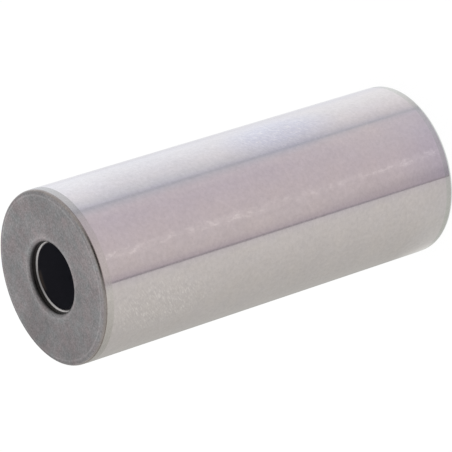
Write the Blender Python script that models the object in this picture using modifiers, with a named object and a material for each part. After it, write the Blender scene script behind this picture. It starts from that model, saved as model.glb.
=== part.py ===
"""A hollow crank pin with a sheet-steel plug pressed into each end of its bore.

The pin stands on its lower end: its axis is +Z, and the origin is the centre of the lower end face.
Lengths are in metres. Every piece is turned: a profile in the XZ plane, carried round the Z axis.
"""

from math import cos, radians, sin, tau

import bpy

MM = 0.001

# The pin. The track is the ground length that the big-end rollers run on.
PIN_DIAMETER = 30.0 * MM
PIN_LENGTH = 74.2 * MM
BORE_DIAMETER = 12.2 * MM
BORE_MOUTH_WIDTH = 0.95 * MM
BORE_MOUTH_DEPTH = 0.65 * MM

# Each end has a rounded edge at the face, then a land that the grinding wheel leaves alone.
# The land narrows towards the edge by the lead, which starts the pin straight in its crank web.
END_EDGE_WIDTH = 0.48 * MM
END_EDGE_HEIGHT = 0.63 * MM
UPPER_LAND_HEIGHT = 1.30 * MM
LOWER_LAND_HEIGHT = 0.90 * MM
LAND_LEAD = 0.04 * MM

# The plugs: drawn cups, mouth outwards, with the trimmed rim a little inside the bore.
PLUG_SHEET = 0.40 * MM
PLUG_HEIGHT = 8.0 * MM
PLUG_RECESS = 1.12 * MM
PLUG_CLEARANCE = 0.10 * MM
PLUG_RIM_BEVEL = 0.22 * MM
PLUG_INNER_CORNER = 1.0 * MM

PIN_SEGMENTS = 96
PLUG_SEGMENTS = 64
ROUNDING_STEPS = 8
PLUG_CORNER_STEPS = 5
SMOOTH_ANGLE = radians(25)


def arc(centre, width, height, start, end, steps):
    """Points on an ellipse with the given half sizes round centre, an (x, z) pair, from start to end in degrees."""
    angles = [radians(start + (end - start) * step / steps) for step in range(steps + 1)]
    return [(centre[0] + width * cos(angle), centre[1] + height * sin(angle)) for angle in angles]


def end_profile(land_height):
    """One end of the pin, from the bore's wall to the ground track, as (radius, depth below the end face)."""
    bore = BORE_DIAMETER / 2
    track = PIN_DIAMETER / 2
    mouth_centre = (bore + BORE_MOUTH_WIDTH, BORE_MOUTH_DEPTH)
    edge_centre = (track - LAND_LEAD - END_EDGE_WIDTH, END_EDGE_HEIGHT)
    return (
        arc(mouth_centre, BORE_MOUTH_WIDTH, BORE_MOUTH_DEPTH, 180, 270, ROUNDING_STEPS)
        + arc(edge_centre, END_EDGE_WIDTH, END_EDGE_HEIGHT, 270, 360, ROUNDING_STEPS)
        + [(track, END_EDGE_HEIGHT + land_height)]
    )


def pin_profile():
    """The whole section of the pin: over the upper face, down the outside, and back up the bore."""
    upper = [(radius, PIN_LENGTH - depth) for radius, depth in end_profile(UPPER_LAND_HEIGHT)]
    lower = [(radius, depth) for radius, depth in end_profile(LOWER_LAND_HEIGHT)]
    return upper + lower[::-1]


def plug_profile():
    """The section of a cup with its rim at z = 0 and its closed end below, from the axis outside to the axis inside."""
    outer = BORE_DIAMETER / 2 - PLUG_CLEARANCE
    inner = outer - PLUG_SHEET
    inside_corner = PLUG_INNER_CORNER
    outside_corner = PLUG_INNER_CORNER + PLUG_SHEET
    floor = PLUG_SHEET - PLUG_HEIGHT
    inside_centre = (inner - inside_corner, floor + inside_corner)
    outside_centre = (outer - outside_corner, outside_corner - PLUG_HEIGHT)
    return (
        [(0.0, floor)]
        + arc(inside_centre, inside_corner, inside_corner, 270, 360, PLUG_CORNER_STEPS)
        + [(inner, -PLUG_RIM_BEVEL), (inner + PLUG_RIM_BEVEL, 0.0), (outer, 0.0)]
        + arc(outside_centre, outside_corner, outside_corner, 360, 270, PLUG_CORNER_STEPS)
        + [(0.0, -PLUG_HEIGHT)]
    )


def turned(name, profile, closed, segments, material):
    """A mesh made by carrying the profile once round the Z axis."""
    count = len(profile)
    edges = [(index, index + 1) for index in range(count - 1)]
    if closed:
        edges.append((count - 1, 0))
    line = bpy.data.meshes.new(name + "_profile")
    line.from_pydata([(x, 0.0, z) for x, z in profile], edges, [])
    lathe = bpy.data.objects.new(name + "_lathe", line)
    bpy.context.scene.collection.objects.link(lathe)
    screw = lathe.modifiers.new("Turn", "SCREW")
    screw.axis = "Z"
    screw.angle = tau
    screw.steps = segments
    screw.render_steps = segments
    screw.use_merge_vertices = True
    screw.merge_threshold = 0.000001
    bpy.context.view_layer.update()
    evaluated = lathe.evaluated_get(bpy.context.evaluated_depsgraph_get())
    mesh = bpy.data.meshes.new_from_object(evaluated)
    bpy.data.objects.remove(lathe)
    bpy.data.meshes.remove(line)
    mesh.name = name
    mesh.shade_smooth()
    mesh.set_sharp_from_angle(angle=SMOOTH_ANGLE)
    mesh.materials.clear()
    mesh.materials.append(material)
    return mesh


def steel(name, colour, roughness):
    material = bpy.data.materials.new(name)
    material.use_nodes = True
    shader = material.node_tree.nodes["Principled BSDF"]
    shader.inputs["Base Color"].default_value = (*colour, 1.0)
    shader.inputs["Metallic"].default_value = 1.0
    shader.inputs["Roughness"].default_value = roughness
    return material


def place(name, mesh, collection, axis, height=0.0, turned_over=False):
    piece = bpy.data.objects.new(name, mesh)
    collection.objects.link(piece)
    piece.parent = axis
    piece.location = (0.0, 0.0, height)
    if turned_over:
        piece.rotation_euler = (radians(180), 0.0, 0.0)
    return piece


def main():
    for old in list(bpy.data.objects):
        bpy.data.objects.remove(old, do_unlink=True)
    collection = bpy.data.collections.new("crank_pin_assembly")
    bpy.context.scene.collection.children.link(collection)
    axis = bpy.data.objects.new("pin_axis", None)
    collection.objects.link(axis)

    hardened = steel("hardened_ground_steel", (0.56, 0.54, 0.55), 0.22)
    drawn = steel("drawn_sheet_steel", (0.42, 0.41, 0.41), 0.35)
    pin_mesh = turned("crank_pin", pin_profile(), True, PIN_SEGMENTS, hardened)
    plug_mesh = turned("bore_plug", plug_profile(), False, PLUG_SEGMENTS, drawn)

    place("crank_pin", pin_mesh, collection, axis)
    place("upper_plug", plug_mesh, collection, axis, PIN_LENGTH - PLUG_RECESS)
    place("lower_plug", plug_mesh, collection, axis, PLUG_RECESS, turned_over=True)


main()
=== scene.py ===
"""The finished look of a hollow crank pin with a sheet-steel plug in each end of its bore.

The pin stands on its lower end with its axis along +Z. The camera stands on the -Y side and sees the upper
end. Angles round the pin are counted from the camera's side towards +X. Lengths are in metres, and in
millimetres inside the materials.
"""

from math import pi, radians, tau

import bpy
import numpy as np
from bpy.props import FloatProperty, FloatVectorProperty, PointerProperty
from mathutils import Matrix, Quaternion, Vector


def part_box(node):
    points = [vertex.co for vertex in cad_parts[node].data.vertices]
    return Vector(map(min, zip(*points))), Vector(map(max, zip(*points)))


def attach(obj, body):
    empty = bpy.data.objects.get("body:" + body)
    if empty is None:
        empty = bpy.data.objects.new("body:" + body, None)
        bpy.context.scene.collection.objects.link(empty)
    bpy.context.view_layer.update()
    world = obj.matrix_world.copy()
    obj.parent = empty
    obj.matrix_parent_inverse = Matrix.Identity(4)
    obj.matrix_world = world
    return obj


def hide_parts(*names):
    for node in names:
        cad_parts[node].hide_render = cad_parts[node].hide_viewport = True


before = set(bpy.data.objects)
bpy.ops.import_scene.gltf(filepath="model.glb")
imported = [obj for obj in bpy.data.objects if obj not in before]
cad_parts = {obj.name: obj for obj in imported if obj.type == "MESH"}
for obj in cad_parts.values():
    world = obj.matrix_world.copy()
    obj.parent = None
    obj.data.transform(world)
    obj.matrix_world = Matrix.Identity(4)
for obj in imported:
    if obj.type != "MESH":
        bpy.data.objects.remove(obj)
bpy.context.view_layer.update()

bl_info = {
    "name": "Hollow Crank Pin",
    "version": (1, 0, 0),
    "blender": (4, 5, 0),
    "location": "View3D > Sidebar > Crank Pin",
    "description": "Makes a hollow crank pin with pressed-in bore plugs, its steels and a small studio",
    "category": "Object",
}

MM = 0.001
PIN_LOW, PIN_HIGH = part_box("crank_pin")
PLUG_LOW, PLUG_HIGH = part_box("upper_plug")
PIN_RADIUS = PIN_HIGH[0]
PIN_LENGTH = PIN_HIGH[2]
PLUG_HEIGHT = PLUG_HIGH[2] - PLUG_LOW[2]

# How finely the surfaces are divided: round the axis, along each stretch of a section, and along a card.
PIN_STEPS = 384
PLUG_STEPS = 256
MOUTH_STEPS = 20
FACE_STEPS = 12
EDGE_STEPS = 24
LAND_STEPS = 8
TRACK_STEPS = 48
BORE_STEPS = 16
PLUG_FLOOR_STEPS = 6
PLUG_INNER_STEPS = 12
PLUG_OUTER_STEPS = 14
PLUG_WALL_STEPS = 8
RIM_CORNER_STEPS = 4
CARD_STEPS = 96
SMOOTH_ANGLE = radians(25)

# The finishes of the pin and of a plug, in the order of their materials.
# The lower land's finish is turned steel painted paler, a painted reflection of the white floor.
SCALE, BLASTED, BURNISHED, TURNED, FLOOR_LIT, GROUND = range(6)
DRAWN, TRIMMED = range(2)

# The two colour inputs of a Mix node, which share their names with others.
MIX_A, MIX_B = 6, 7


def linear(hex_colour):
    """The linear values of an sRGB colour written as six hex digits."""
    levels = np.array([int(hex_colour[i : i + 2], 16) for i in (0, 2, 4)]) / 255
    return tuple(np.where(levels <= 0.04045, levels / 12.92, ((levels + 0.055) / 1.055) ** 2.4))


def length(name, text, default):
    """A length property in metres."""
    return FloatProperty(name=name, description=text, default=default, min=0.0, unit="LENGTH", precision=5)


def colour(name, text, hex_colour):
    """A colour property whose default is an sRGB hex value."""
    return FloatVectorProperty(
        name=name, description=text, default=linear(hex_colour), subtype="COLOR", min=0.0, max=1.0
    )


def angle_setting(name, text, degrees):
    """An angle property."""
    return FloatProperty(name=name, description=text, default=radians(degrees), subtype="ANGLE")


class PinSizes(bpy.types.PropertyGroup):
    """Sizes of the turned pin that its box doesn't give."""

    bore: length("Bore radius", "Radius of the bore through the pin", 6.1 * MM)
    mouth_width: length("Mouth width", "How far the bore's rounded mouth reaches over the face", 0.95 * MM)
    mouth_depth: length("Mouth depth", "How far the bore's rounded mouth reaches down the bore", 0.65 * MM)
    edge_width: length("Edge width", "How far the rounded outer edge reaches in over the face", 0.48 * MM)
    edge_height: length("Edge height", "How far the rounded outer edge reaches down the side", 0.63 * MM)
    upper_land: length("Upper land", "Height of the unpolished land at the upper end", 1.30 * MM)
    lower_land: length("Lower land", "Height of the unpolished land at the lower end", 0.90 * MM)
    lead: length("Land lead", "How much each land tapers in towards its end for the press fit", 0.04 * MM)


class PlugSizes(bpy.types.PropertyGroup):
    """Sizes of the drawn plugs that their boxes don't give."""

    recess: length("Recess", "Depth of the plug's rim below the end face", 1.12 * MM)
    sheet: length("Sheet", "Thickness of the sheet that the plug is drawn from", 0.40 * MM)
    rim: length("Rim bevel", "Bevel on the inner edge of the trimmed rim", 0.22 * MM)
    corner: length("Inner corner", "Radius between the plug's wall and its floor", 1.0 * MM)
    nick: length("Nick", "Depth of the nick in the inner edge of the trimmed rim", 0.12 * MM)
    wave: length("Wave", "How much the trimmed rim's width wavers", 0.03 * MM)


class SteelColours(bpy.types.PropertyGroup):
    """Base colours of the steel finishes."""

    track: colour("Ground track", "Superfinished steel of the bearing track", "DCDADB")
    scuff: colour("Scuffed track", "Track steel where handling has scuffed it", "F0F0F0")
    tint: colour("Track tint", "Bluish trace of temper colour on the track", "D0D2DE")
    land: colour("Upper land", "Turned and hardened steel above the track", "B4B4B3")
    # The lower land's paler colour is a painted reflection of the white floor beside the pin's foot.
    lower_land: colour("Lower land", "Turned and hardened steel below the track, bleached a little", "C4C7C5")
    edge: colour("Edge", "Burnished steel where each face rounds into its land", "938D8A")
    face: colour("End face", "Blasted steel of the end faces", "9E9697")
    face_tint: colour("End face tint", "Greyer patches of the end faces", "969697")
    scale: colour("Bore scale", "Dark scale left by hardening in the bore", "2A2725")
    cup: colour("Plug", "Dark phosphated surface of the plug", "34343C")
    rim: colour("Plug rim", "Freshly trimmed edge of the plug", "C9C6C5")
    # Painted light, brown in tone, where light through the mouth falls on the upper plug's far wall.
    painted_light_patch: colour("Plug stain", "Brown stain inside the plug, just below its rim", "665C55")


class StudioSettings(bpy.types.PropertyGroup):
    """Where the camera stands and how bright the studio is."""

    camera_back: length("Camera back", "Distance of the camera from the pin's axis", 0.4864)
    camera_height: length("Camera height", "Height of the camera above the floor", 0.3635)
    lens: FloatProperty(name="Lens", description="Focal length in millimetres", default=274.8, min=1.0)
    pitch: angle_setting("Pitch", "Angle that the camera looks down", 33.777)
    turn: angle_setting("Turn", "Angle that the camera looks past the axis", 0.056)
    roll: angle_setting("Roll", "Turn of the camera about its view", -107.625)
    surround: FloatProperty(name="Surround", description="Brightness of the surround", default=0.9, min=0.0)


def link_object(name, mesh):
    made = bpy.data.objects.new(name, mesh)
    bpy.context.scene.collection.objects.link(made)
    return made


def grid_mesh(name, points, wrap_rows=False, wrap_columns=False, close_ends=False):
    """A mesh from a grid of points: rows by columns, with four-sided faces between neighbours.

    Faces look outwards where the rows run down an outer side and the columns run anticlockwise.
    close_ends fans the first and the last row to a point at their centre.
    """
    rows, columns = points.shape[:2]
    row = np.arange(rows if wrap_rows else rows - 1)[:, None]
    column = np.arange(columns if wrap_columns else columns - 1)[None, :]
    next_row = (row + 1) % rows
    next_column = (column + 1) % columns
    corners = (row, column), (next_row, column), (next_row, next_column), (row, next_column)
    faces = np.stack([r * columns + c for r, c in corners], axis=-1).reshape(-1, 4).tolist()
    vertices = points.reshape(-1, 3)
    if close_ends:
        ring = np.arange(columns)
        after = (ring + 1) % columns
        last = (rows - 1) * columns
        top = np.full(columns, rows * columns)
        faces += np.stack([top, ring, after], axis=1).tolist()
        faces += np.stack([top + 1, last + after, last + ring], axis=1).tolist()
        vertices = np.concatenate([vertices, points[[0, -1]].mean(axis=1)])
    mesh = bpy.data.meshes.new(name)
    mesh.from_pydata(vertices.tolist(), [], faces)
    mesh.update()
    return mesh


def turned_grid(radius, height, steps):
    """Points of a turned surface: each radius and height of the profile is carried round the Z axis in equal
    steps, so a point is the radius times the cosine, the radius times the sine, and the height."""
    angle = np.arange(steps) * (tau / steps)
    x = radius[:, None] * np.cos(angle)
    y = radius[:, None] * np.sin(angle)
    z = np.broadcast_to(height[:, None], x.shape)
    return np.stack([x, y, z], axis=-1)


def arc(centre, size, start, end, steps):
    """Points on an ellipse: the centre plus the two half sizes times the cosine and the sine of angles
    between two in degrees."""
    angle = np.radians(np.linspace(start, end, steps + 1))
    return np.stack([centre[0] + size[0] * np.cos(angle), centre[1] + size[1] * np.sin(angle)], axis=1)


def run(start, end, steps):
    """Points on a straight line between two, ends included, closer together towards both ends."""
    share = (1 - np.cos(np.linspace(0, pi, steps + 1))) / 2
    return np.outer(1 - share, start) + np.outer(share, end)


def rounded(before, corner, after, size):
    """The corner between two straight runs as a quadratic curve that leaves each run at the same distance."""
    before, corner, after = (np.asarray(point, float) for point in (before, corner, after))
    start = corner + (before - corner) * size / np.linalg.norm(before - corner)
    end = corner + (after - corner) * size / np.linalg.norm(after - corner)
    t = np.linspace(0, 1, RIM_CORNER_STEPS + 1)[:, None]
    return (1 - t) ** 2 * start + 2 * t * (1 - t) * corner + t**2 * end


def joined(pieces):
    """Joins pairs of points and their finish, one for all or one for each, into one profile and one row of
    finishes."""
    profile = np.concatenate([points for points, _ in pieces])
    finish = np.concatenate([np.full(len(points), kind) for points, kind in pieces])
    return profile, finish


def end_profile(sizes, land_height, edge_finish, land_finish):
    """One end of the pin from the bore's wall to the track, as radius and depth below the face."""
    mouth_centre = (sizes.bore + sizes.mouth_width, sizes.mouth_depth)
    mouth = arc(mouth_centre, (sizes.mouth_width, sizes.mouth_depth), 180, 270, MOUTH_STEPS)
    land_start = (PIN_RADIUS - sizes.lead, sizes.edge_height)
    edge_centre = (land_start[0] - sizes.edge_width, sizes.edge_height)
    edge = arc(edge_centre, (sizes.edge_width, sizes.edge_height), -90, 0, EDGE_STEPS)
    # The blasting reaches over the first third of the edge.
    blasted = EDGE_STEPS // 3 + 1
    land_end = (PIN_RADIUS, sizes.edge_height + land_height)
    return joined(
        (
            (mouth, BLASTED),
            (run(mouth[-1], edge[0], FACE_STEPS)[1:-1], BLASTED),
            (edge[:blasted], BLASTED),
            (edge[blasted:-1], edge_finish),
            (run(land_start, land_end, LAND_STEPS), land_finish),
        )
    )


def pin_section(sizes):
    """The closed section of the pin: over the upper face, down the outside, under the lower face and up the
    bore. The second array gives the finish of the stretch that starts at each point."""
    upper, upper_finish = end_profile(sizes, sizes.upper_land, BURNISHED, TURNED)
    lower, lower_finish = end_profile(sizes, sizes.lower_land, FLOOR_LIT, FLOOR_LIT)
    upper[:, 1] = PIN_LENGTH - upper[:, 1]
    upper_finish[-1] = GROUND
    return joined(
        (
            (upper, upper_finish),
            (run(upper[-1], lower[-1], TRACK_STEPS)[1:-1], GROUND),
            (lower[::-1], np.append(lower_finish[:-1][::-1], SCALE)),
            (run(lower[0], upper[0], BORE_STEPS)[1:-1], SCALE),
        )
    )


def plug_section(sizes, outer):
    """The section of a plug, from the middle of its floor up the inside, over the rim and down the outside,
    with its rim at height 0."""
    inner = outer - sizes.sheet
    floor = sizes.sheet - PLUG_HEIGHT
    outer_corner = sizes.corner + sizes.sheet
    start = (inner, -sizes.rim)
    edge = (inner + sizes.rim, 0.0)
    first_ring = 0.4 * MM
    rim_corner = 0.05 * MM
    inside_centre = (inner - sizes.corner, floor + sizes.corner)
    inside = arc(inside_centre, (sizes.corner, sizes.corner), 270, 360, PLUG_INNER_STEPS)
    outside_centre = (outer - outer_corner, outer_corner - PLUG_HEIGHT)
    outside = arc(outside_centre, (outer_corner, outer_corner), 360, 270, PLUG_OUTER_STEPS)
    low = rounded(inside[-1], start, edge, rim_corner)
    high = rounded(start, edge, (outer, 0.0), rim_corner)
    side = rounded(edge, (outer, 0.0), outside[0], rim_corner)
    return joined(
        (
            (run((first_ring, floor), inside[0], PLUG_FLOOR_STEPS)[:-1], DRAWN),
            (inside, DRAWN),
            (run(inside[-1], low[0], PLUG_WALL_STEPS)[1:-1], DRAWN),
            (low, TRIMMED),
            (high, TRIMMED),
            (side, TRIMMED),
            (run(side[-1], outside[0], PLUG_WALL_STEPS)[1:-1], DRAWN),
            (outside, DRAWN),
            (run(outside[-1], (first_ring, -PLUG_HEIGHT), PLUG_FLOOR_STEPS)[1:], DRAWN),
        )
    )


def uneven_rim(points, sizes, outer):
    """Makes a plug's rim uneven, as trimming left it.

    A point moves away from the axis by a depth, times the share of the sheet's thickness that lies outside
    it, times a share that falls from 1 at the rim to 0 at 1.2 mm below it. The depth is the wave times the
    sine of twice the angle less a turn, plus the nick, which grows quickly and fades out slowly.
    """
    nick_start, nick_growth = 156, 5
    nick_end, nick_fade = 193, 30
    wave_turn = 110
    uneven_height = 1.2 * MM
    angle = np.degrees(np.arctan2(points[..., 0], -points[..., 1])) % 360
    radius = np.hypot(points[..., 0], points[..., 1])
    nicked = np.clip((angle - nick_start) / nick_growth, 0, 1) * np.clip((nick_end - angle) / nick_fade, 0, 1)
    depth = sizes.wave * np.sin(np.radians(2 * angle - wave_turn)) + sizes.nick * nicked
    inside = np.clip((outer - radius) / sizes.sheet, 0, 1)
    near_rim = np.clip(1 + points[..., 2] / uneven_height, 0, 1)
    grown = 1 + depth * inside * near_rim / radius
    return points * np.stack([grown, grown, np.ones_like(grown)], axis=-1)


def node(tree, kind, links=None, stops=(), **settings):
    """Adds a shader node, sets its properties, and gives each input a value or a link. An input goes by its
    name or its number. A node given as a value stands for its first output in use, and a colour needs no
    alpha. For a colour ramp, stops are positions and linear colours."""
    made = tree.nodes.new("ShaderNode" + kind)
    for key, value in settings.items():
        setattr(made, key, value)
    for index, (position, tone) in enumerate(stops):
        elements = made.color_ramp.elements
        element = elements[index] if index < len(elements) else elements.new(1.0)
        element.position = position
        element.color = (*tone, 1.0)
    for socket, value in (links or {}).items():
        if isinstance(value, bpy.types.Node):
            value = next(output for output in value.outputs if output.enabled)
        if isinstance(value, bpy.types.NodeSocket):
            tree.links.new(value, made.inputs[socket])
        elif made.inputs[socket].type == "RGBA":
            made.inputs[socket].default_value = (*value[:3], 1.0)
        else:
            made.inputs[socket].default_value = value
    return made


def new_tree(name):
    """An empty node material and its tree."""
    material = bpy.data.materials.new(name)
    material.use_nodes = True
    material.node_tree.nodes.clear()
    return material, material.node_tree


def millimetres(tree):
    """The position in millimetres."""
    place = node(tree, "TexCoord").outputs["Object"]
    return node(tree, "VectorMath", {0: place, "Scale": 1000.0}, operation="SCALE")


def angle_and_height(tree, place):
    """The angle round the pin in degrees, from the camera's side towards +X, and the height."""
    parts = node(tree, "SeparateXYZ", {0: place})
    towards_camera = node(tree, "Math", {0: parts.outputs[1], 1: -1.0}, operation="MULTIPLY")
    turn = node(tree, "Math", {0: parts.outputs[0], 1: towards_camera}, operation="ARCTAN2")
    return node(tree, "Math", {0: turn}, operation="DEGREES"), parts.outputs[2]


def grey(*levels):
    """Ramp stops from pairs of a position and a grey level."""
    return [(position, (level, level, level)) for position, level in levels]


def multiplied(tree, parts):
    """The product of several values."""
    product = parts[0]
    for part in parts[1:]:
        product = node(tree, "Math", {0: product, 1: part}, operation="MULTIPLY")
    return product


def soft_patch(tree, angle, height, turn, rise):
    """A value of 1 in the middle of a patch and 0 from its edge on. The patch is an ellipse that fills a span
    of the angle in degrees and of the height in millimetres."""
    spans = (
        node(tree, "MapRange", {"Value": where, "From Min": low, "From Max": high, "To Min": -1.0})
        for where, (low, high) in ((angle, turn), (height, rise))
    )
    place = node(tree, "CombineXYZ", dict(enumerate(spans)))
    off = node(tree, "VectorMath", {0: place}, operation="LENGTH")
    return node(tree, "MapRange", {"Value": off, "From Min": 0.4, "To Min": 1.0, "To Max": 0.0})


def light_streak_line(tree, place, angle, height):
    """How much lighter and rougher the track is along a line 2 degrees round from the camera's side. The line
    wanders a little over 12 mm, and its flecks are about 1 mm by 2 mm."""
    wander = node(tree, "TexNoise", {"W": height, "Scale": 1 / 12, "Detail": 1.0}, noise_dimensions="1D")
    middle = node(
        tree, "MapRange", {"Value": wander, "From Min": 0.3, "From Max": 0.7, "To Min": 1.4, "To Max": 3.0}
    )
    off_line = node(tree, "Math", {0: angle, 1: middle}, operation="SUBTRACT")
    off_line = node(tree, "Math", {0: off_line}, operation="ABSOLUTE")
    line = node(
        tree, "MapRange", {"Value": off_line, "From Min": 0.4, "From Max": 4.2, "To Min": 1.0, "To Max": 0.0},
        interpolation_type="SMOOTHSTEP",
    )
    along = node(tree, "MapRange", {"Value": height, "From Max": 74.0})
    line_strength = node(
        tree, "ValToRGB", {0: along},
        stops=grey((0.0, 0.8), (0.12, 0.95), (0.2, 0.6), (0.4, 0.5), (0.46, 0.45), (0.55, 0.7), (0.62, 1.0),
                   (0.69, 1.0), (0.76, 0.5), (0.86, 0.65), (0.94, 1.0)),
    )
    stretched = node(tree, "VectorMath", {0: place, 1: (1.2, 1.2, 0.5)}, operation="MULTIPLY")
    flecks = node(tree, "TexNoise", {"Vector": stretched, "Scale": 1.0, "Detail": 3.0, "Roughness": 0.65})
    flecked = node(
        tree, "MapRange", {"Value": flecks, "From Min": 0.5, "From Max": 0.64, "To Min": 0.3, "To Max": 1.25}
    )
    return multiplied(tree, [line, line_strength, flecked])


def scratched_patches(tree, angle, height):
    """How scratched the track is, and how bluish. One scratched patch is near the upper end, and a bluish one
    with fainter scratches is in the lower half.

    The scratches are about 1.2 mm long and 0.5 mm apart, and climb 0.55 mm for each mm round the pin, so the
    pattern is drawn along and across that slope on the unrolled track.
    """
    patch = soft_patch(tree, angle, height, (-60.0, -18.0), (50.0, 75.5))
    bluish = soft_patch(tree, angle, height, (30.0, 78.0), (15.0, 42.0))
    climb = 0.55
    round_pin = node(tree, "Math", {0: angle, 1: radians(1) * PIN_RADIUS / MM}, operation="MULTIPLY")
    along_them = node(tree, "Math", {0: height, 1: climb, 2: round_pin}, operation="MULTIPLY_ADD")
    across_them = node(tree, "Math", {0: round_pin, 1: -climb, 2: height}, operation="MULTIPLY_ADD")
    unrolled = node(tree, "CombineXYZ", {0: along_them, 1: across_them})
    fine = node(tree, "VectorMath", {0: unrolled, 1: (0.85, 4.0, 1.0)}, operation="MULTIPLY")
    scratches = node(
        tree, "TexNoise", {"Vector": fine, "Scale": 1.0, "Detail": 2.0, "Roughness": 0.6, "Distortion": 0.4}
    )
    scratched = node(
        tree, "MapRange", {"Value": scratches, "From Min": 0.5, "From Max": 0.66, "To Max": 0.9}
    )
    patch = node(tree, "Math", {0: bluish, 1: 0.7, 2: patch}, operation="MULTIPLY_ADD")
    return multiplied(tree, [patch, scratched]), bluish


def ground_hardened_steel(colours):
    """Case-hardened steel, ground and superfinished: a near mirror with faint marks round the axis, a faint
    tint, a lighter, rougher line along one side, a patch of small scratches and a bluish patch with a few
    more.

    The grinding marks are 0.2 mm apart along the axis and run about 6 mm round it. The clouds are about 7 mm
    across, the tint's spots 4 mm and the mottle 0.7 mm. One cell in six of a 12 mm network holds a pit 0.3 mm
    across.
    """
    material, tree = new_tree("ground_hardened_steel")
    place = millimetres(tree)
    angle, height = angle_and_height(tree, place)

    squeezed = node(tree, "VectorMath", {0: place, 1: (0.16, 0.16, 5.0)}, operation="MULTIPLY")
    marks = node(tree, "TexNoise", {"Vector": squeezed, "Scale": 1.0, "Detail": 3.0, "Roughness": 0.6})
    clouds = node(tree, "TexNoise", {"Vector": place, "Scale": 1 / 7, "Detail": 3.0, "Roughness": 0.55})
    tints = node(tree, "TexNoise", {"Vector": place, "Scale": 1 / 4, "Detail": 3.0, "Roughness": 0.65})
    mottle = node(tree, "TexNoise", {"Vector": place, "Scale": 1 / 0.7, "Detail": 3.0, "Roughness": 0.7})
    clouded, marked, mottled, gloss = (
        node(
            tree, "MapRange",
            {"Value": noise, "From Min": 0.3, "From Max": 0.7, "To Min": low, "To Max": high},
        )
        for noise, low, high in (
            (clouds, 0.96, 1.0), (marks, 0.98, 1.0), (mottle, 0.92, 1.04), (marks, 0.07, 0.11),
        )
    )

    cell = 12.0
    pit_radius = 0.15
    cells = node(tree, "TexVoronoi", {"Vector": place, "Scale": 1 / cell})
    pit = node(tree, "Math", {0: cells.outputs["Distance"], 1: pit_radius / cell}, operation="LESS_THAN")
    chance = node(tree, "SeparateColor", {0: cells.outputs["Color"]})
    chosen = node(tree, "Math", {0: chance, 1: 0.83}, operation="GREATER_THAN")
    pit = multiplied(tree, [pit, chosen])
    pitted = node(tree, "MapRange", {"Value": pit, "To Min": 1.0, "To Max": 0.6})
    shade = multiplied(tree, [clouded, marked, mottled, pitted])

    line = light_streak_line(tree, place, angle, height)
    patch, bluish = scratched_patches(tree, angle, height)
    scuffs = node(tree, "Math", {0: line, 1: patch}, operation="MAXIMUM")
    tinted = node(tree, "MapRange", {"Value": tints, "From Min": 0.35, "From Max": 0.65, "To Max": 0.15})
    tinted = node(tree, "Math", {0: tinted, 1: bluish}, operation="MAXIMUM")
    steel = node(tree, "Mix", {0: tinted, MIX_A: colours.track, MIX_B: colours.tint}, data_type="RGBA")
    steel = node(tree, "Mix", {0: scuffs, MIX_A: steel, MIX_B: colours.scuff}, data_type="RGBA")
    base = node(tree, "VectorMath", {0: steel, "Scale": shade}, operation="SCALE")
    rough = node(tree, "Math", {0: scuffs, 1: 0.12, 2: gloss}, operation="MULTIPLY_ADD")
    shader = node(tree, "BsdfPrincipled", {"Base Color": base, "Metallic": 1.0, "Roughness": rough})
    node(tree, "OutputMaterial", {"Surface": shader})
    return material


def painted_cup_wall(tree, place, base_colour, painted_light_patch):
    """The colour and the painted light and shade of a plug's wall.

    The painted light is a brown-toned patch inside the upper plug, on the side away from the camera, where
    light through the mouth falls on the wall. It grows from 0.95 to 0.6 mm below the rim, and from 5.35 to
    5.65 mm behind the axis. The painted shade of both plugs falls from 1.3 at 6 mm below the rim to 0.5 at
    the rim, so each wall is darker towards its rim and paler towards its floor.
    """
    parts = node(tree, "SeparateXYZ", {0: place})
    rim = PLUG_HIGH[2] / MM
    middle = PIN_LENGTH / 2 / MM
    far = node(tree, "MapRange", {"Value": parts.outputs[1], "From Min": 5.35, "From Max": 5.65})
    high = node(
        tree, "MapRange", {"Value": parts.outputs[2], "From Min": rim - 0.95, "From Max": rim - 0.6}
    )
    lit_share = multiplied(tree, [far, high])
    wall = node(tree, "Mix", {0: lit_share, MIX_A: base_colour, MIX_B: painted_light_patch}, data_type="RGBA")
    from_middle = node(tree, "Math", {0: parts.outputs[2], 1: middle}, operation="SUBTRACT")
    from_middle = node(tree, "Math", {0: from_middle}, operation="ABSOLUTE")
    shade = node(
        tree, "MapRange",
        {"Value": from_middle, "From Min": rim - middle - 6.0, "From Max": rim - middle, "To Min": 1.3,
         "To Max": 0.5},
    )
    return wall, shade


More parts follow.
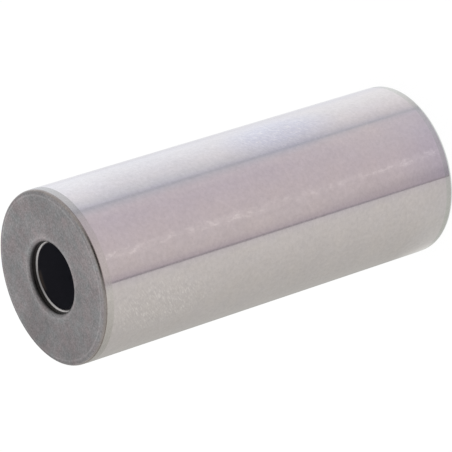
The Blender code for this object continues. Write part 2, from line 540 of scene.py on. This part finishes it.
def matt_steel(
    name, base_colour, roughness, contrast, metallic=1.0, tint=None, across=(), centre=(0.0, 0.0),
    mottle_share=0.5, painted_lean=(0.0, 0.0), painted_sheen=(0.0, 0.0), painted_light_patch=None,
):
    """Steel with an even matt grain of 0.3 mm, a mottle of 1.2 mm and soft clouds of 6 mm.

    contrast is how much lighter the lightest grain is than the darkest. tint is a second colour in patches of
    2.5 mm. across are ramp stops that shade it by the distance from the axis, and centre moves the middle of
    those rings. lean is painted light: how much lighter it gets for each pin radius towards +X and towards
    +Y.
    bow is a painted sheen for each square radius of X times Y and of Y times Y, in place of the shimmer of
    brushed and turned steel. Distances and the centre are shares of the pin's radius. stain makes it the wall
    of a cup, with painted light on the upper plug's far wall below its rim and painted shade towards the
    rims.
    """
    material, tree = new_tree(name)
    place = millimetres(tree)
    grain = node(tree, "TexNoise", {"Vector": place, "Scale": 1 / 0.3, "Detail": 2.0, "Roughness": 0.6})
    mottle = node(tree, "TexNoise", {"Vector": place, "Scale": 1 / 1.2, "Detail": 3.0, "Roughness": 0.6})
    clouds = node(tree, "TexNoise", {"Vector": place, "Scale": 1 / 6, "Detail": 1.0, "Roughness": 0.5})
    both = node(tree, "Mix", {0: mottle_share, 2: grain, 3: mottle})
    shades = [
        node(
            tree, "MapRange",
            {"Value": noise, "From Min": 0.35, "From Max": 0.65, "To Min": 1 - by, "To Max": 1 + by},
        )
        for noise, by in ((both, contrast / 2), (clouds, contrast / 6))
    ]
    radius = PIN_RADIUS / MM
    if across:
        middle = (centre[0] * radius, centre[1] * radius, 0.0)
        moved = node(tree, "VectorMath", {0: place, 1: middle}, operation="SUBTRACT")
        flat = node(tree, "VectorMath", {0: moved, 1: (1.0, 1.0, 0.0)}, operation="MULTIPLY")
        from_centre = node(tree, "VectorMath", {0: flat}, operation="LENGTH")
        share = node(tree, "MapRange", {"Value": from_centre, "From Max": radius})
        shades.append(node(tree, "ValToRGB", {0: share}, stops=across))
    if any(painted_lean + painted_sheen):
        back = node(tree, "SeparateXYZ", {0: place}).outputs[1]
        slopes = (painted_lean[0] / radius, painted_lean[1] / radius, 0.0), (painted_sheen[0] / radius**2, painted_sheen[1] / radius**2, 0.0)
        slant, bend = (
            node(tree, "VectorMath", {0: place, 1: slope}, operation="DOT_PRODUCT") for slope in slopes
        )
        slant = node(tree, "Math", {0: back, 1: bend, 2: slant}, operation="MULTIPLY_ADD")
        shades.append(node(tree, "Math", {0: slant, 1: 1.0}, operation="ADD"))
    toned = base_colour
    if tint is not None:
        patches = node(
            tree, "TexNoise", {"Vector": place, "Scale": 1 / 2.5, "Detail": 3.0, "Roughness": 0.65}
        )
        patched = node(tree, "MapRange", {"Value": patches, "From Min": 0.35, "From Max": 0.65})
        toned = node(tree, "Mix", {0: patched, MIX_A: base_colour, MIX_B: tint}, data_type="RGBA")
    if painted_light_patch is not None:
        toned, cup_shade = painted_cup_wall(tree, place, base_colour, painted_light_patch)
        shades.append(cup_shade)
    base = node(tree, "VectorMath", {0: toned, "Scale": multiplied(tree, shades)}, operation="SCALE")
    bump = node(tree, "Bump", {"Height": grain, "Strength": 0.3, "Distance": 0.02 * MM})
    shader = node(
        tree, "BsdfPrincipled",
        {"Base Color": base, "Metallic": metallic, "Roughness": roughness, "Normal": bump},
    )
    node(tree, "OutputMaterial", {"Surface": shader})
    return material


class CRANKPIN_OT_pin(bpy.types.Operator):
    """Makes the turned pin with its ground track, unground lands, blasted ends and scaled bore"""

    bl_idname = "crankpin.pin"
    bl_label = "Make Pin"

    def execute(self, context):
        scene = context.scene
        profile, finish = pin_section(scene.pin_sizes)
        points = turned_grid(profile[:, 0], profile[:, 1], PIN_STEPS)
        mesh = grid_mesh("turned_pin", points, wrap_rows=True, wrap_columns=True)
        colours = scene.steel_colours
        # The face darkens into the mouth, partly with scale and partly as painted shade, and has a light line
        # round it, partly burnished and partly a painted highlight, both a little off centre. It has a bright
        # and a dark line where the deburring wheel has run round its outer edge.
        across = grey(
            (0.407, 0.13), (0.413, 0.26), (0.418, 0.48), (0.423, 0.62), (0.430, 0.68), (0.440, 0.76),
            (0.448, 0.88), (0.455, 1.0), (0.463, 1.0), (0.475, 0.90), (0.495, 0.84), (0.530, 0.78),
            (0.925, 0.79), (0.935, 1.0), (0.942, 1.0), (0.951, 0.82), (0.960, 0.74), (0.975, 0.84),
            (1.0, 0.86),
        )
        steels = (
            # Hardening scale is nearly black and dull, with no shine of metal.
            matt_steel("scaled_bore_steel", colours.scale, roughness=0.5, contrast=0.3, metallic=0.0),
            # Blasting leaves an even grey with a fine grain and no clear reflection. Painted light makes it
            # lighter towards
            # +X and towards the camera, and a painted sheen stands in for the shimmer of brushing.
            matt_steel(
                "blasted_hardened_steel", colours.face, roughness=0.42, contrast=0.45,
                tint=colours.face_tint, across=across, centre=(0.004, 0.008), mottle_share=0.3,
                painted_lean=(0.08, -0.06), painted_sheen=(0.2, 0.08),
            ),
            # Burnishing makes the edge a darker and glossier line.
            matt_steel("burnished_hardened_steel", colours.edge, roughness=0.22, contrast=0.3),
            # Turned steel that the grinding wheel has left alone is a soft, light grey band. Painted light
            # makes it lighter towards -X, and a painted sheen makes it lighter towards the camera and away
            # from it than at its sides.
            matt_steel(
                "turned_hardened_steel", colours.land, roughness=0.18, contrast=0.12, painted_lean=(-0.14, 0.0),
                painted_sheen=(0.0, 0.4),
            ),
            # The lower land is turned steel too, softer, and painted paler as a reflection of the white floor
            # beside the foot, with painted light towards the camera.
            matt_steel(
                "floor_lit_hardened_steel", colours.lower_land, roughness=0.22, contrast=0.12,
                painted_lean=(0.0, -0.10),
            ),
            ground_hardened_steel(colours),
        )
        for steel in steels:
            mesh.materials.append(steel)
        mesh.polygons.foreach_set("material_index", np.repeat(finish, PIN_STEPS).astype(np.int32))
        mesh.shade_smooth()
        mesh.set_sharp_from_angle(angle=SMOOTH_ANGLE)
        pin = link_object("turned_pin", mesh)
        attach(pin, "root")
        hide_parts("crank_pin")
        return {"FINISHED"}


class CRANKPIN_OT_plugs(bpy.types.Operator):
    """Makes the two drawn plugs, each with its bright trimmed rim facing outwards"""

    bl_idname = "crankpin.plugs"
    bl_label = "Make Plugs"

    def execute(self, context):
        scene = context.scene
        sizes = scene.plug_sizes
        bore = scene.pin_sizes.bore
        profile, finish = plug_section(sizes, bore)
        cup = uneven_rim(turned_grid(profile[:, 0], profile[:, 1], PLUG_STEPS), sizes, bore)
        kinds = np.concatenate([np.repeat(finish[:-1], PLUG_STEPS), np.full(2 * PLUG_STEPS, DRAWN)])
        colours = scene.steel_colours
        # Phosphated sheet is bluish black and dull. It has painted light on the upper plug's far wall just
        # below the rim, and painted shade that makes both plugs darker towards their rims and paler towards
        # their floors.
        drawn = matt_steel(
            "phosphated_sheet_steel", colours.cup, roughness=0.45, contrast=0.15, metallic=0.0,
            painted_light_patch=colours.painted_light_patch,
        )
        # The trimmed edge is bare bright steel, with painted shade towards the camera and away from it, so
        # that it is brightest towards +X and -X.
        trimmed = matt_steel(
            "trimmed_sheet_steel", colours.rim, roughness=0.3, contrast=0.15, painted_sheen=(0.0, -3.85)
        )
        for name, node_name, rim_height, side in (
            ("upper_bore_plug", "upper_plug", PIN_LENGTH - sizes.recess, 1),
            ("lower_bore_plug", "lower_plug", sizes.recess, -1),
        ):
            # The lower plug is the upper one turned over about X, which keeps its faces outwards.
            points = cup * np.array([1, side, side]) + np.array([0, 0, rim_height])
            mesh = grid_mesh(name, points, wrap_columns=True, close_ends=True)
            mesh.materials.append(drawn)
            mesh.materials.append(trimmed)
            mesh.polygons.foreach_set("material_index", kinds.astype(np.int32))
            mesh.shade_smooth()
            mesh.set_sharp_from_angle(angle=SMOOTH_ANGLE)
            plug = link_object(name, mesh)
            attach(plug, "root")
            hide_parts(node_name)
        return {"FINISHED"}


def hide_from_all_but_reflections(piece):
    for ray in ("camera", "diffuse", "transmission", "volume_scatter", "shadow"):
        setattr(piece, "visible_" + ray, False)


def mapped_grid(name, points):
    """A grid mesh whose UV map runs from 0 to 1 down the rows and along the columns."""
    mesh = grid_mesh(name, points)
    rows, columns = points.shape[:2]
    across, along = np.meshgrid(np.linspace(0, 1, rows), np.linspace(0, 1, columns), indexing="ij")
    corner = np.empty(len(mesh.loops), np.int32)
    mesh.loops.foreach_get("vertex_index", corner)
    places = np.stack([across.ravel()[corner], along.ravel()[corner]], axis=1)
    mesh.uv_layers.new(name="UVMap").data.foreach_set("uv", places.ravel())
    return mesh


def floor_card(
    name, tones, foot_tones, foot_reach, camera_back, drift=(0.0, 0.0), reach=0.45, strength=(1.0, 1.0),
    foot_tint="FFFFFF",
):
    """A card on the floor, shaped so that the pin's side shows it as one straight band.

    A point of the side at an angle t mirrors the camera's rays towards twice t plus the small angle by which
    the camera is off that point's own line. So the card is the sheet of points at the pin's radius along t,
    plus a distance along that direction, for t between the angles in degrees of the first and the last tone.
    Close to the pin's foot it has the foot tones, which fade into the others over a distance, and the foot's
    tint, which is gone 16 mm away. It has the first strength up to 95 mm away and the second from 110 mm on.
    drift turns the first and the last edge of the band by so many degrees between the pin's foot and its top,
    which mirrors what lies 120 mm away.
    """
    start, end = tones[0][0], tones[-1][0]
    top_mirrors = 0.12
    near = np.linspace(0.2 * MM, 0.13, 14)
    distance = np.concatenate([near, [0.2, reach]])[None, :]
    share = np.linspace(0, 1, CARD_STEPS + 1)[:, None]
    shift = ((1 - share) * drift[0] + share * drift[1]) * np.minimum(distance / top_mirrors - 1, 0)
    t = np.radians(start + (end - start) * share + shift)
    off = np.arctan2(PIN_RADIUS * np.sin(t), camera_back - PIN_RADIUS * np.cos(t))
    x = PIN_RADIUS * np.sin(t) + distance * np.sin(2 * t + off)
    y = -PIN_RADIUS * np.cos(t) - distance * np.cos(2 * t + off)
    mesh = mapped_grid(name, np.stack([x, y, np.full_like(x, 0.0001)], axis=-1))
    material, tree = new_tree(name)
    split = node(tree, "SeparateXYZ", {0: node(tree, "UVMap", uv_map="UVMap")})
    shade, foot_shade = (
        node(
            tree, "ValToRGB", {0: split},
            stops=[((angle - start) / (end - start), linear(tone)) for angle, tone in band],
        )
        for band in (tones, foot_tones)
    )
    # Up to 130 mm away, the map's second coordinate is the distance over 0.15 m.
    along = split.outputs[1]
    mapped = 0.15
    away = node(tree, "MapRange", {"Value": along, "From Max": foot_reach / mapped})
    shade = node(tree, "Mix", {0: away, MIX_A: foot_shade, MIX_B: shade}, data_type="RGBA")
    by_foot = node(
        tree, "MapRange", {"Value": along, "From Max": 0.016 / mapped, "To Min": 1.0, "To Max": 0.0}
    )
    level = node(
        tree, "MapRange",
        {"Value": along, "From Min": 0.095 / mapped, "From Max": 0.11 / mapped, "To Min": strength[0],
         "To Max": strength[1]},
    )
    shade = node(
        tree, "Mix", {0: by_foot, MIX_A: shade, MIX_B: linear(foot_tint)}, data_type="RGBA",
        blend_type="MULTIPLY",
    )
    node(tree, "OutputMaterial", {"Surface": node(tree, "Emission", {"Color": shade, "Strength": level})})
    mesh.materials.append(material)
    hide_from_all_but_reflections(link_object(name, mesh))


def dark_room(colour_hex, distance, first, last, high):
    """The dark room behind the camera, as a patch of a sphere round the pin's foot.

    A point is the distance times the cosine of its rise towards its turn, and the distance times the sine of
    its rise up, for turns between two angles and rises up to one, in degrees. The patch is dark in its
    middle, between a tenth and a third of the way up, and fades to both sides, upwards and downwards.
    """
    turns = np.radians(np.linspace(first, last, 33))
    rises = np.radians(np.linspace(0.0, high, 25))
    sideways, rise = np.meshgrid(turns, rises, indexing="ij")
    x = distance * np.cos(rise) * np.sin(sideways)
    y = -distance * np.cos(rise) * np.cos(sideways)
    mesh = mapped_grid("dark_room", np.stack([x, y, distance * np.sin(rise)], axis=-1))
    material, tree = new_tree("dark_room")
    parts = node(tree, "SeparateXYZ", {0: node(tree, "UVMap", uv_map="UVMap")})
    sides = node(tree, "Math", {0: parts.outputs[0], 1: 0.5}, operation="PINGPONG")
    middle = node(tree, "MapRange", {"Value": sides, "From Min": 0.16, "From Max": 0.42})
    stops = grey((0.05, 0.0), (0.10, 1.0), (0.33, 1.0), (0.73, 0.0))
    darkness = multiplied(tree, [middle, node(tree, "ValToRGB", {0: parts.outputs[1]}, stops=stops)])
    dark = node(tree, "Emission", {"Color": linear(colour_hex), "Strength": 1.0})
    mixed = node(tree, "MixShader", {0: darkness, 1: node(tree, "BsdfTransparent"), 2: dark})
    node(tree, "OutputMaterial", {"Surface": mixed})
    mesh.materials.append(material)
    hide_from_all_but_reflections(link_object("dark_room", mesh))


class CRANKPIN_OT_stage(bpy.types.Operator):
    """Makes the floor, the cards that the pin mirrors, the dark room, the surround and the camera"""

    bl_idname = "crankpin.stage"
    bl_label = "Make Stage"

    def execute(self, context):
        scene = context.scene
        studio = scene.studio_settings

        # White paper, 4 m square: matt to the lights, and an even white to the camera and to mirrors.
        side = np.linspace(-2.0, 2.0, 3)
        x, y = np.meshgrid(side, side, indexing="ij")
        floor_mesh = grid_mesh("floor", np.stack([x, y, np.zeros_like(x)], axis=-1))
        material, tree = new_tree("white_paper")
        rays = node(tree, "LightPath").outputs
        seen = node(tree, "Math", {0: rays["Is Camera Ray"], 1: rays["Is Glossy Ray"]}, operation="MAXIMUM")
        seen = node(tree, "Math", {0: seen, 1: rays["Is Transmission Ray"]}, operation="MAXIMUM")
        share = node(tree, "Math", {0: seen, 1: 0.88}, operation="MULTIPLY")
        matt = node(tree, "BsdfDiffuse", {"Color": (0.9, 0.9, 0.9)})
        white = node(tree, "Emission", {"Color": (1.0, 1.0, 1.0), "Strength": 1.05})
        node(tree, "OutputMaterial", {"Surface": node(tree, "MixShader", {0: share, 1: matt, 2: white})})
        floor_mesh.materials.append(material)
        link_object("floor", floor_mesh)

        back = studio.camera_back
        floor_card(
            "warm_card",
            ((-90.0, "A8A7A4"), (-76.0, "C3C0BB"), (-45.0, "D2CDC7"), (-20.0, "E0DAD5"), (-14.6, "DCD5D5")),
            ((-90.0, "E2E2DF"), (-76.0, "EAE8E3"), (-68.0, "DCDAD6"), (-45.0, "D8D5D0"), (-20.0, "DAD5D3"),
             (-14.6, "D6CFD1")),
            foot_reach=0.012, camera_back=back, drift=(0.6, 0.6),
        )
        floor_card(
            "dark_seam", ((-14.6, "999195"), (-13.4, "ACA2A8")), ((-14.6, "A69EA3"), (-13.4, "B2A8AF")),
            foot_reach=0.05, camera_back=back, drift=(0.6, 0.6),
        )
        floor_card(
            "lilac_card",
            ((-13.4, "C6BABE"), (-9.0, "D8CCCB"), (-4.0, "DDD1D0"), (10.0, "DDD0D2"), (24.0, "DACED4"),
             (30.0, "DFD4D9"), (35.2, "D3D0D7")),
            ((-13.4, "C2B5BA"), (-9.0, "C6BABE"), (-4.0, "D8CBCE"), (10.0, "DBCED2"), (20.0, "E0D5D8"),
             (32.0, "E7DCDD"), (35.2, "E2DBDD")),
            foot_reach=0.05, camera_back=back, drift=(0.6, -0.7), reach=0.26, foot_tint="F3F6FF",
        )
        floor_card(
            "blue_seam", ((35.2, "C8C6CE"), (37.4, "C8C7CF")), ((35.2, "D1CED3"), (37.4, "CECDD3")),
            foot_reach=0.05, camera_back=back, drift=(-0.7, 0.0),
        )
        floor_card(
            "white_card",
            ((37.4, "C9C7D1"), (41.0, "DAD9DE"), (48.0, "ECEAEE"), (60.0, "F9F9FD"), (68.0, "FAFBFF"),
             (73.0, "F5F6FB"), (77.0, "E8E8ED"), (90.0, "E5E5E6")),
            ((37.4, "CCC8CE"), (41.0, "DFD9DB"), (48.0, "EFEAEB"), (60.0, "F7F5F5"), (68.0, "F8F6F7"),
             (77.0, "E8E8ED"), (90.0, "E7E7E8")),
            foot_reach=0.08, camera_back=back, strength=(1.12, 1.17),
        )
        dark_room("1A1412", distance=0.22, first=-67.0, last=83.0, high=85.0)

        world = bpy.data.worlds.new("white_surround")
        world.use_nodes = True
        tree = world.node_tree
        tree.nodes.clear()
        seen = node(tree, "LightPath").outputs["Is Camera Ray"]
        level = node(tree, "MapRange", {"Value": seen, "To Min": studio.surround, "To Max": 1.0})
        white = node(tree, "Background", {"Color": (1.0, 1.0, 1.0), "Strength": level})
        node(tree, "OutputWorld", {"Surface": white})
        scene.world = world

        camera_data = bpy.data.cameras.new("camera")
        camera_data.lens = studio.lens
        camera_data.clip_start = 0.01
        camera = link_object("camera", camera_data)
        camera.location = (0.0, -studio.camera_back, studio.camera_height)
        flat = Vector((-np.sin(studio.turn), np.cos(studio.turn), 0.0)) * np.cos(studio.pitch)
        view = flat + Vector((0.0, 0.0, -np.sin(studio.pitch)))
        camera.rotation_mode = "QUATERNION"
        camera.rotation_quaternion = view.to_track_quat("-Z", "Y") @ Quaternion((0, 0, 1), studio.roll)
        scene.camera = camera

        scene.view_settings.view_transform = "Standard"
        return {"FINISHED"}


class CRANKPIN_PT_sidebar(bpy.types.Panel):
    """Lists the sizes, the colours and the operators"""

    bl_idname = "CRANKPIN_PT_sidebar"
    bl_label = "Crank Pin"
    bl_space_type = "VIEW_3D"
    bl_region_type = "UI"
    bl_category = "Crank Pin"

    def draw(self, context):
        for group in GROUPS:
            settings = getattr(context.scene, group)
            for name in settings.__annotations__:
                self.layout.prop(settings, name)
        for operator in OPERATORS:
            self.layout.operator(operator.bl_idname)


GROUPS = {
    "pin_sizes": PinSizes,
    "plug_sizes": PlugSizes,
    "steel_colours": SteelColours,
    "studio_settings": StudioSettings,
}
OPERATORS = (CRANKPIN_OT_pin, CRANKPIN_OT_plugs, CRANKPIN_OT_stage)


def register():
    for kind in (*GROUPS.values(), *OPERATORS, CRANKPIN_PT_sidebar):
        bpy.utils.register_class(kind)
    for name, kind in GROUPS.items():
        setattr(bpy.types.Scene, name, PointerProperty(type=kind))


def unregister():
    for name in GROUPS:
        delattr(bpy.types.Scene, name)
    for kind in (CRANKPIN_PT_sidebar, *reversed(OPERATORS), *reversed(GROUPS.values())):
        bpy.utils.unregister_class(kind)


def main():
    register()
    bpy.ops.crankpin.pin()
    bpy.ops.crankpin.plugs()
    bpy.ops.crankpin.stage()


if __name__ == "__main__":
    main()
